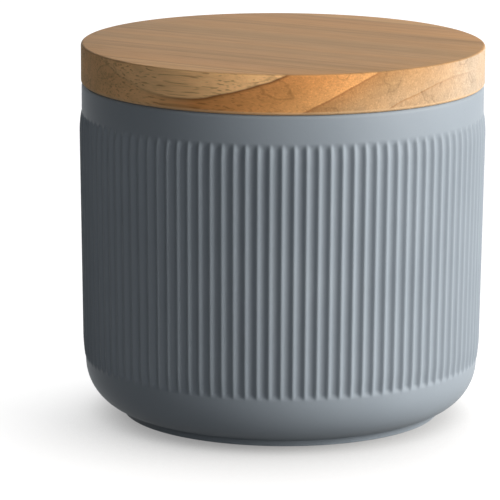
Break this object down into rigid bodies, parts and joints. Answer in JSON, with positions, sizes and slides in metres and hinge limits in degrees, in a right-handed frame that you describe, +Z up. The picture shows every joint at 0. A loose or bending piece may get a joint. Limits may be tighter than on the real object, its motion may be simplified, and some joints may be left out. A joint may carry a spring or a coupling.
{
  "type": "storage canister",
  "caption": "Round ribbed ceramic storage canister with a soft rounded base and a flat wooden disc lid whose plug and silicone seal close the mouth.",
  "frame": {"origin": "centre of the foot ring, on the surface that the canister stands on", "axes": "+Z up along the canister's axis; the canister is round, so X and Y are any pair across it, with a rib crown on +X"},
  "size_m": [0.102, 0.102, 0.0939],
  "materials": {
    "glazed_stoneware": "matt blue-grey glaze",
    "lid_wood": "fine sanded and oiled, growth rings and open pores showing",
    "seal_silicone": "soft milky silicone"
  },
  "bodies": {
    "canister": {"canister_body": "glazed_stoneware"},
    "seal": {"seal_ring": "seal_silicone"},
    "lid": {"wooden_lid": "lid_wood"}
  },
  "joints": [
    {"name": "lid_lift", "type": "slide", "parent": "canister", "child": "seal", "axis": [0, 0, 1], "range_m": [0, 0.1]},
    {"name": "lid_turn", "type": "hinge", "parent": "seal", "child": "lid", "pos_m": [0, 0, 0.084], "axis": [0, 0, 1], "continuous": true}
  ]
}
